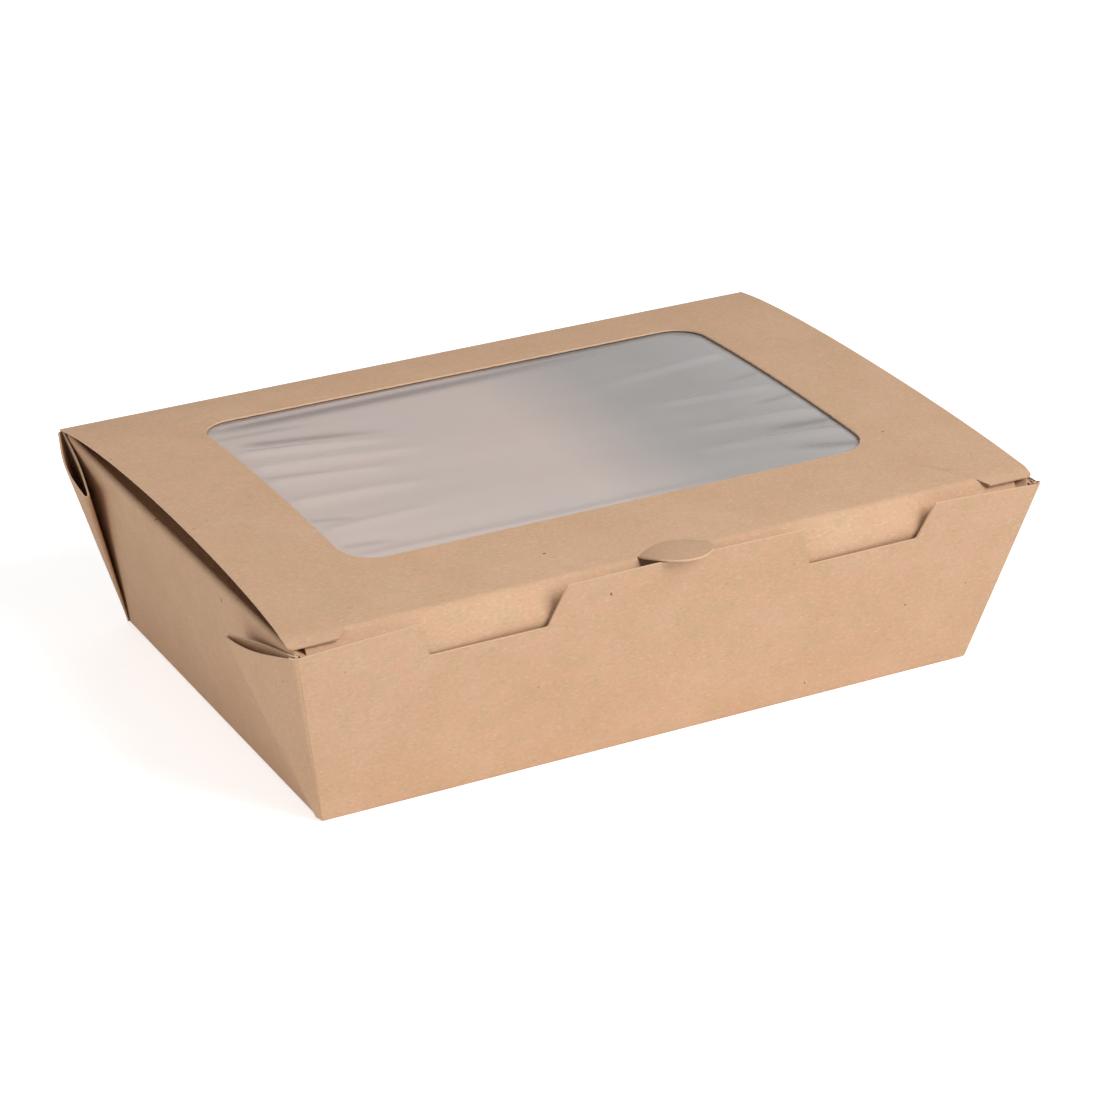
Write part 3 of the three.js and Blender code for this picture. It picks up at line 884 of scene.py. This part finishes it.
@dataclass
class Lid:
    """The bowed lid: panel round the window, front fold, tuck flap, corners and thumb tab."""

    blank: Blank
    side_margin: float = 0.5
    side_waist: float = 1.3
    front_height: float = 52.3
    back_angle: float = math.radians(12)
    front_angle: float = math.radians(8)
    bow_handle: float = 28.0
    back_bevel: float = 0.3
    nose_set_in: float = 0.06
    fold_radius: float = 5.5
    crease_radius: float = 1.8
    face_angle: float = math.radians(59)
    heel_radius: float = 7.0
    tuck_depth: float = 20.9
    tuck_end_margin: float = 4.5
    tuck_taper: float = 9.0
    tuck_corner_radius: float = 9.0
    tuck_curl: float = 0.7
    slit_length: float = 12.4
    slit_gap: float = 1.5
    slit_fall: float = 0.9
    corner_reach: float = 3.5
    corner_angle: float = math.radians(17)
    corner_radius: float = 1.4
    tab_half_width: float = 9.0
    tab_reach: float = 11.5
    tab_root: float = 3.2
    tab_rise: float = 0.2826
    tab_droop: float = 0.0102
    tab_cut: float = 0.4
    window_length: float = 142.0
    window_depth: float = 92.0
    window_shift: float = 5.2
    window_radius: float = 9.0
    film: float = 0.08
    packed_film: float = 0.2
    film_sag: float = 0.55
    film_margin: float = 8.5
    ridges: tuple[tuple[float, ...], ...] = (
        (-70, 49.5, 60, 50.0, 0.3, 1.6, 0.40),
        (-71, 29.0, -24, 19.0, 0.8, 2.0, 0.50),
        (-71, 19.0, -20, 11.0, 0.6, 2.4, 0.45),
        (-71, 9.0, -34, 5.0, 0.4, 1.8, 0.38),
        (-71, -4.0, -30, -6.0, 0.4, 2.2, 0.36),
        (-71, -22.0, -34, -20.0, 0.2, 2.0, 0.30),
        (-66, -38.0, 40, -39.0, -0.5, 2.0, 0.45),
        (71, 30.0, 20, 24.0, 0.8, 3.0, 0.40),
        (71, 4.0, 26, 8.0, 0.5, 2.6, 0.36),
        (71, -14.0, 34, -10.0, 0.3, 1.8, 0.42),
        (71, -27.0, 30, -22.0, 0.4, 1.8, 0.50),
    )
    # Painted shade streaks along the film's folds: first and last x and y, bend, width and darkness.
    shades: tuple[tuple[float, ...], ...] = (
        (-69, 46.6, 60, 49.6, -2.2, 2.4, 0.75),
        (-65, 34.0, -26, 24.5, 0.6, 1.7, 0.60),
        (-70, 40.5, -40, 38.0, 0.6, 1.2, 0.30),
        (-70, 12.0, -50, 8.0, 0.3, 1.1, 0.22),
        (-70, -15.5, -57, -19.0, 0.0, 1.2, 0.35),
        (-69, -31.0, -54, -33.0, 0.0, 1.2, 0.28),
        (70, 13.0, 58, 11.5, 0.0, 1.0, 0.25),
        (71, -3.5, 56, -4.5, 0.0, 1.1, 0.38),
        (71, -21.5, 50, -19.5, 0.3, 1.6, 0.60),
        (71, -36.5, 50, -31.0, 0.3, 1.7, 0.60),
    )

    @property
    def half_length(self) -> float:
        """Half the lid's length."""
        return self.blank.rim_length / 2 - self.side_margin

    @property
    def slit_start(self) -> float:
        """Where the slits begin, from the middle."""
        return self.half_length - self.slit_length

    @property
    def hinge_height(self) -> float:
        """Height of the lid's axis."""
        return self.blank.rim_height + self.blank.board / 2 + self.blank.clearance

    def fold_start(self) -> tuple[float, float]:
        """Where the panel ends and the front fold begins.

        Returns:
            Its y and z.
        """
        blank = self.blank
        centre = self.front_height - self.fold_radius * math.cos(self.front_angle)
        flap = self.flap_plane()[0] + self.flap_plane()[1] * centre
        y = flap + self.fold_radius * (1 / math.cos(blank.front_lean) - math.sin(self.front_angle))
        return y, self.front_height

    def flap_plane(self) -> tuple[float, float]:
        """The tuck flap's plane behind the front wall.

        Returns:
            The first and second number of y = first + second * z.
        """
        blank = self.blank
        slope = -blank.front_run / blank.rise
        gap = (blank.board + blank.clearance) / math.cos(blank.front_lean)
        return -blank.base_depth / 2 - slope * blank.middle + gap, slope

    def fold_profile(self) -> tuple[np.ndarray, np.ndarray, np.ndarray, float]:
        """The section of the front fold and tuck flap.

        From the crease it turns tightly on to a flat slanting face, then more softly to the
        front wall's lean, and goes straight down behind the wall. The heading is worked out
        along the section and summed up to places.

        Returns:
            Distance along the section, y and z there, and the distance at which the straight
            flap begins.
        """
        start_y, start_z = self.fold_start()
        first, slope = self.flap_plane()
        last = math.pi / 2 + self.blank.front_lean
        face = self.face_angle
        turns = ((self.crease_radius, self.front_angle, face), (self.heel_radius, face, last))
        over = start_y - sum(r * (math.sin(b) - math.sin(a)) for r, a, b in turns)
        height = start_z - sum(r * (math.cos(a) - math.cos(b)) for r, a, b in turns)
        straight = (over - first - slope * height) / (math.cos(face) - slope * math.sin(face))
        knots = np.cumsum([0, turns[0][0] * (face - self.front_angle), straight,
                           turns[1][0] * (last - face), self.tuck_depth])
        along = np.linspace(0, knots[-1], 1600)
        heading = np.interp(along, knots, [self.front_angle, face, face, last, last])
        step = along[1]
        y = start_y - np.concatenate([[0], np.cumsum(np.cos(heading[:-1]) * step)])
        z = start_z - np.concatenate([[0], np.cumsum(np.sin(heading[:-1]) * step)])
        return along, y, z, float(knots[3])

    def bow_curve(self) -> tuple[np.ndarray, np.ndarray]:
        """The panel's bow: a cubic curve with a straight handle at each end.

        Returns:
            Its y and z, from front to back.
        """
        start_y, start_z = self.fold_start()
        y = [self.blank.rim_depth / 2, self.blank.rim_depth / 2 - self.bow_handle,
             start_y + self.bow_handle, start_y]
        z = [self.hinge_height, self.hinge_height + self.bow_handle * math.tan(self.back_angle),
             start_z + self.bow_handle * math.tan(self.front_angle), start_z]
        t = np.linspace(1, 0, 400)
        weights = [(1 - t) ** 3, 3 * t * (1 - t) ** 2, 3 * t ** 2 * (1 - t), t ** 3]
        return (sum(w * v for w, v in zip(weights, y)), sum(w * v for w, v in zip(weights, z)))

    def height_at(self, y: np.ndarray) -> np.ndarray:
        """Height of the panel's mid-surface, and of its corners past the fold.

        Args:
            y: Places across the box.

        Returns:
            Heights.
        """
        curve_y, curve_z = self.bow_curve()
        past = np.clip(curve_y[0] - y, 0, None)
        blend = smooth_step(past / self.corner_reach * 1.5)
        slope = math.tan(self.front_angle) * (1 - blend) + math.tan(self.corner_angle) * blend
        return np.interp(y, curve_y, curve_z) - past * slope

    def on_panel(self, x: np.ndarray, y: np.ndarray) -> tuple[np.ndarray, np.ndarray]:
        """Points and normals of the panel above places in plan.

        Args:
            x: Places along the box.
            y: Places across it.

        Returns:
            The points and the unit normals of the bowed surface there.
        """
        z = self.height_at(y)
        step = 0.05
        slope = (self.height_at(y + step) - self.height_at(y - step)) / (2 * step)
        normals = unit(np.stack([np.zeros_like(slope), -slope, np.ones_like(slope)], axis=-1))
        return np.stack([x, y, z], axis=-1), normals

    def window_edge(self) -> np.ndarray:
        """The window's outline, with a ragged edge of three small sine waves along it.

        Returns:
            Array of points x 2, anticlockwise from the front left corner.
        """
        x, radius = self.window_length / 2, self.window_radius
        front, back = (self.window_shift + side * self.window_depth / 2 for side in (-1, 1))
        centres = [(-x + radius, front + radius, math.pi), (x - radius, front + radius, 1.5 * math.pi),
                   (x - radius, back - radius, 0.0), (-x + radius, back - radius, 0.5 * math.pi)]
        arcs = [arc_between(np.array([cx, cy]), radius, turn, turn + math.pi / 2, 15)
                for cx, cy, turn in centres]
        outline = outline_round(arcs, {})
        ahead = np.roll(outline, -1, axis=0) - np.roll(outline, 1, axis=0)
        normal = unit(np.stack([ahead[:, 1], -ahead[:, 0]], axis=1))
        place = np.cumsum(np.linalg.norm(np.diff(outline, axis=0, prepend=outline[:1]), axis=1))
        ragged = 0.05 * np.sin(place * 2.9) + 0.045 * np.sin(place * 4.7 + 1.0) \
            + 0.03 * np.sin(place * 1.3 + 2.0)
        return outline + normal * ragged[:, None]

    def panel_edge(self) -> np.ndarray:
        """The panel's outer outline: the front side follows the tab's root, and the left and
        right sides are drawn in by a sine to the power 0.6.

        Returns:
            Array of points x 2, point for point with the window's.
        """
        x, reach = self.half_length, self.corner_reach
        front = self.fold_start()[0]
        back = self.blank.rim_depth / 2
        slit = self.slit_start
        corner = np.array([-x, front - reach])
        rounding = rounded_corner(np.array([-x, 0.0]), corner, np.array([-slit, front - reach]),
                                  self.corner_radius, 8)
        left = np.concatenate([
            np.stack([np.full(3, -x), np.linspace(front + 1, front - 0.6, 3)], axis=1),
            rounding,
            np.array([[-slit - 3, front - reach], [-slit, front - reach],
                      [-slit, front - reach / 2], [-slit, front]]),
        ])
        right = (left * np.array([-1, 1]))[::-1]
        bevel = self.back_bevel
        spread = np.linspace(0, 2 * bevel, 16)
        back_right = np.stack([x - np.clip(spread - bevel, 0, None),
                               back - np.clip(bevel - spread, 0, None)], axis=1)
        back_left = (back_right * np.array([-1, 1]))[::-1]
        ends = [left, right, back_right, back_left]
        tab = self.tab_half_width
        across = np.concatenate([
            np.linspace(-slit, -tab, 46)[1:], tab * np.sin(np.linspace(-1, 1, 31) * math.pi / 2)[1:-1],
            np.linspace(tab, slit, 46)[:-1]])
        sides = {0: np.stack([across, front + self.root_at(across)], axis=1)}
        share = np.linspace(0, 1, OUTLINE_STEPS[1])[1:-1]
        waist = self.side_waist * np.sin(math.pi * share) ** 0.6
        for k, sign in ((1, -1), (3, 1)):
            start, end = ends[k][-1], ends[(k + 1) % 4][0]
            sides[k] = start + (end - start) * share[:, None]
            sides[k][:, 0] += sign * waist
        return outline_round(ends, sides)

    def root_at(self, x: np.ndarray) -> np.ndarray:
        """How far behind the fold's start the tab's root lies: a parabola across the tab."""
        return self.tab_root * np.clip(1 - (x / self.tab_half_width) ** 2, 0, None)

    def panel(self) -> Patch:
        """The panel round the window: straight lines in plan from the window's edge to the
        outer edge, lifted on to the bow.

        Returns:
            The closed patch.
        """
        inner, outer = self.window_edge(), self.panel_edge()
        share = np.linspace(1, 0, 22)[:, None, None]
        plan = inner[None] * (1 - share) + outer[None] * share
        points, normals = self.on_panel(plan[..., 0], plan[..., 1])
        return slab(points, self.blank.board, -normals, wrap=True)

    def fold_columns(self) -> np.ndarray:
        """Places along the box for the fold's columns, closest beside the thumb tab's cut.

        Returns:
            The places, from left to right.
        """
        cut = self.tab_half_width + self.tab_cut
        middle = cut * np.sin(np.linspace(-math.pi / 2, math.pi / 2, 41))
        outside = np.linspace(cut, self.slit_start, 41)[1:]
        return np.concatenate([-outside[::-1], middle, outside])

    def opening_at(self, x: np.ndarray) -> np.ndarray:
        """How far down the fold the tab's cut reaches: half an ellipse, a little larger than
        the tab."""
        share = x / (self.tab_half_width + self.tab_cut)
        return (self.tab_reach + self.tab_cut) * np.sqrt(np.clip(1 - share ** 2, 0, None))

    def curl_at(self, x: np.ndarray, along: np.ndarray) -> np.ndarray:
        """How far the flap wanders inwards: a cosine along the box, growing down the fold."""
        wave = 0.5 * (1 + np.cos(2 * math.pi * (x + 31) / 99))
        return self.tuck_curl * wave * smooth_step(along / 12)

    def fold_and_flap(self) -> Patch:
        """The front fold and the tuck flap in one sheet: straight down from the crease, from
        the thumb tab's opening or, past the slits, from a shoulder below the slit's gap.

        Returns:
            The closed patch.
        """
        along, y, z, fold_end = self.fold_profile()
        half = self.half_length - self.tuck_end_margin
        ends = self.slit_start + (half - self.slit_start) * np.linspace(0, 1, 13)
        ends[0] = self.slit_start + 0.01
        x = np.concatenate([-ends[::-1], self.fold_columns(), ends])
        past = (np.abs(x) - self.slit_start) / (half - self.slit_start)
        start = np.where(past > 0, self.slit_gap + self.slit_fall * past, self.opening_at(x))
        radius = self.tuck_corner_radius
        into = np.clip(np.abs(x) - (half - radius), 0, None)
        end = along[-1] - (radius - np.sqrt(np.clip(radius ** 2 - into ** 2, 0, None)))
        share = np.linspace(0, 1, 72)[:, None] ** 1.4
        place = start + (end - start) * share
        down = np.clip(place - fold_end, 0, None) / self.tuck_depth
        taper = 1 - self.tuck_taper / half * smooth_step(down)
        depth = np.interp(place, along, y) + self.curl_at(x, place)
        return slab(np.stack([x * taper, depth, np.interp(place, along, z)], axis=-1), self.blank.board)

    def thumb_tab(self) -> Patch:
        """The half-moon tab: lines from its root arc in the panel to its free edge, half an
        ellipse. It bends up at the root and droops again over the front rim, as a parabola
        of the distance from the root.

        Returns:
            The closed patch.
        """
        start_y, start_z = self.fold_start()
        turn = np.linspace(0.02, 0.98, 61) * math.pi
        share = np.linspace(0, 1, 25)[:, None]
        x = np.broadcast_to(-self.tab_half_width * np.cos(turn), (25, 61))
        root = self.root_at(x)
        travel = share * (root + self.tab_reach * np.sin(turn))
        level = start_z + root * math.tan(self.front_angle)
        bend = smooth_step(travel / 1.2)
        rise = bend * (self.tab_rise * travel - self.tab_droop * travel ** 2) \
            - (1 - bend) * travel * math.tan(self.front_angle)
        points = np.stack([x, start_y + root - travel, level + rise], axis=-1)
        return slab(points, self.blank.board)

    def film_sheet(self) -> Patch:
        """The film: it follows the bow under the panel, and inside the window it wrinkles.

        The height is the bow's, less the drop to the film, plus ripples that run along the
        box and fade towards its middle, a long fold near the back edge, and a slight sag.

        Returns:
            The closed patch.
        """
        margin = self.film_margin
        half = self.window_length / 2 + margin
        front = self.window_shift - self.window_depth / 2 - margin
        back = self.window_shift + self.window_depth / 2 + margin
        x = np.linspace(-half, half, 220)[:, None]
        y = np.linspace(front, back, 190)[None]
        bow, normals = self.on_panel(*np.broadcast_arrays(x, y))
        free = smooth_step((self.window_length / 2 + 1 - np.abs(x)) / 6) \
            * smooth_step((self.window_depth / 2 + 1 - np.abs(y - self.window_shift)) / 5)
        drop = (self.blank.board + self.packed_film) / 2 + self.blank.clearance
        points = bow + normals * (free * self.wrinkle_at(x, y) - drop)[..., None]
        return slab(points, self.film)

    def shade_at(self, x: np.ndarray, y: np.ndarray) -> np.ndarray:
        """Painted shade along the film's folds: the darkest of the painted streaks there."""
        return np.max([self.streak_at(x, y, streak) for streak in self.shades], axis=0)

    @staticmethod
    def streak_at(x: np.ndarray, y: np.ndarray, streak: tuple[float, ...]) -> np.ndarray:
        """Height of one soft streak: a bell across a bent line, fading in and out along it.

        Args:
            x: Places along the box.
            y: Places across it.
            streak: The line's first and last x and y, its bend, its width and its height.

        Returns:
            Heights.
        """
        start_x, start_y, end_x, end_y, bend, width, rise = streak
        share = np.clip((x - start_x) / (end_x - start_x), -0.2, 1.2)
        line = start_y + (end_y - start_y) * share + bend * np.sin(math.pi * share)
        fade = smooth_step(share * 5 + 0.4) * smooth_step((1 - share) * 1.8)
        return rise * fade * np.exp(-((y - line) / width) ** 2)

    def wrinkle_at(self, x: np.ndarray, y: np.ndarray) -> np.ndarray:
        """Height of the film's wrinkles above its plain form.

        Soft ridges run in from both ends; broad waves and a sag lie under them.

        Args:
            x: Places along the box.
            y: Places across it.

        Returns:
            Heights in millimetres.
        """
        height = sum(self.streak_at(x, y, ridge) for ridge in self.ridges)
        across = (y - self.window_shift) / (self.window_depth / 2)
        along = x / (self.window_length / 2)
        sag = -self.film_sag * np.clip(1 - along ** 2, 0, None) * np.clip(1 - across ** 2, 0, None)
        waves = 0.10 * np.sin(x / 17 + y / 30 + 0.6) + 0.05 * np.sin(y / 5.2 + x / 40) \
            + 0.035 * np.abs(along) * np.sin(y / 1.7 + 2 * along)
        return height + sag + waves

    def build(self, board: bpy.types.Material, film: bpy.types.Material) -> None:
        """Makes the lid's board and its film.

        Args:
            board: Finish of the board.
            film: Finish of the film.
        """
        patches = [self.panel(), self.fold_and_flap(), self.thumb_tab(), self.nose()]
        make_piece("lid_board", joined(patches), board, Body.LID, "lid")
        patch = self.film_sheet()
        sheet = make_piece("film_sheet", patch, film, Body.LID, "window_film", 60)
        # Painted shade along the film's folds, kept on the mesh.
        shade = self.shade_at(patch.vertices[:, 0], patch.vertices[:, 1])
        sheet.data.attributes.new("shade", "FLOAT", "POINT").data.foreach_set("value", shade)

    def nose(self) -> Patch:
        """The round back edge of the panel, about the lid's axis."""
        blank = self.blank
        return rod(self.half_length - self.back_bevel, blank.board / 2,
                   blank.rim_depth / 2 - self.nose_set_in, self.hinge_height)


# Studio


@dataclass(frozen=True)
class Studio:
    """White floor, soft lights and the camera at the photograph's viewing angle."""

    camera_place: tuple[float, float, float] = (-0.39063, -0.73857, 0.42380)
    camera_target: tuple[float, float, float] = (0.02627, 0.04517, 0.0)
    camera_roll: float = math.radians(-0.06)
    lens: float = 120.96
    dome: float = 0.34
    floor_white: float = 0.9
    floor_glow: float = 0.60
    floor_reach: float = 4.0
    lights: tuple[tuple[str, tuple[float, float, float], float, float], ...] = (
        ("key", (0.95, -1.70, 1.60), 1.3, 50.0),
        ("fill", (-2.1, -0.7, 0.5), 1.6, 14.5),
        ("back", (0.95, 1.70, 1.70), 1.3, 3.0),
    )

    def camera(self) -> None:
        """Puts the camera in place."""
        data = bpy.data.cameras.new("camera")
        data.lens = self.lens
        data.sensor_width = 36.0
        data.sensor_fit = "HORIZONTAL"
        data.clip_end = 50
        camera = bpy.data.objects.new("camera", data)
        bpy.context.scene.collection.objects.link(camera)
        place, target = Vector(self.camera_place), Vector(self.camera_target)
        turn = (target - place).to_track_quat("-Z", "Y").to_matrix().to_4x4()
        roll = Matrix.Rotation(self.camera_roll, 4, "Z")
        camera.matrix_world = Matrix.Translation(place) @ turn @ roll
        bpy.context.scene.camera = camera

    def world(self) -> None:
        """A pale dome: white to the camera and in reflections, softer as light."""
        world = bpy.data.worlds.new("studio")
        world.use_nodes = True
        bpy.context.scene.world = world
        tree = world.node_tree
        tree.nodes.clear()
        white = (1, 1, 1, 1)
        lit, seen = [add_node(tree, "Background", {"Color": white, "Strength": strength})
                     for strength in (self.dome, 1.0)]
        mix = add_node(tree, "MixShader", {"Fac": self.seen_rays(tree), 1: lit.outputs["Background"],
                                           2: seen.outputs["Background"]})
        add_node(tree, "OutputWorld", {"Surface": mix.outputs["Shader"]})

    @staticmethod
    def seen_rays(tree: bpy.types.NodeTree) -> Socket:
        """Tells the rays that see a surface from those that only light it.

        Args:
            tree: The node tree that needs it.

        Returns:
            1 for rays from the camera, of a reflection or through glass, and 0 for the rest.
        """
        path = add_node(tree, "LightPath", {})
        total = path.outputs["Is Camera Ray"]
        for kind in ("Is Glossy Ray", "Is Transmission Ray"):
            total = add_node(tree, "Math", {0: total, 1: path.outputs[kind]}, "MAXIMUM").outputs["Value"]
        return total

    def floor(self) -> None:
        """A floor that looks white and keeps the box's shadow."""
        mesh = bpy.data.meshes.new("floor")
        reach = self.floor_reach
        mesh.from_pydata([(-reach, -reach, 0), (reach, -reach, 0), (reach, reach, 0),
                          (-reach, reach, 0)], [], [(0, 1, 2, 3)])
        material = bpy.data.materials.new("floor_white")
        material.use_nodes = True
        tree = material.node_tree
        tree.nodes.clear()
        matt = add_node(tree, "BsdfDiffuse", {"Color": (*[self.floor_white] * 3, 1)})
        scale = add_node(tree, "Math", {0: self.seen_rays(tree), 1: self.floor_glow}, "MULTIPLY")
        glow = add_node(tree, "Emission", {"Strength": scale.outputs["Value"]})
        both = add_node(tree, "AddShader", {0: matt.outputs["BSDF"], 1: glow.outputs["Emission"]})
        add_node(tree, "OutputMaterial", {"Surface": both.outputs["Shader"]})
        mesh.materials.append(material)
        floor = bpy.data.objects.new("floor", mesh)
        bpy.context.scene.collection.objects.link(floor)

    def lamps(self) -> None:
        """Large soft lights, each a square facing the box."""
        for name, place, size, power in self.lights:
            data = bpy.data.lights.new(name, "AREA")
            data.shape = "SQUARE"
            data.size = size
            data.energy = power
            light = bpy.data.objects.new(name, data)
            light.location = place
            light.rotation_euler = (-Vector(place)).to_track_quat("-Z", "Y").to_euler()
            bpy.context.scene.collection.objects.link(light)

    def build(self) -> None:
        """Sets the whole studio up."""
        self.camera()
        self.world()
        self.floor()
        self.lamps()
        bpy.context.scene.view_settings.view_transform = "Standard"


def main() -> None:
    """Builds the box and the studio."""
    logging.basicConfig(level=logging.INFO, format="%(name)s: %(message)s")
    Studio().build()
    blank = Blank()
    lid = Lid(blank)
    tray = Tray(blank, hinge_height=lid.hinge_height)
    kraft = KraftFinish().build("kraft")
    tray.build(kraft)
    lid.build(kraft, FilmFinish().build("film"))


if __name__ == "__main__":
    main()
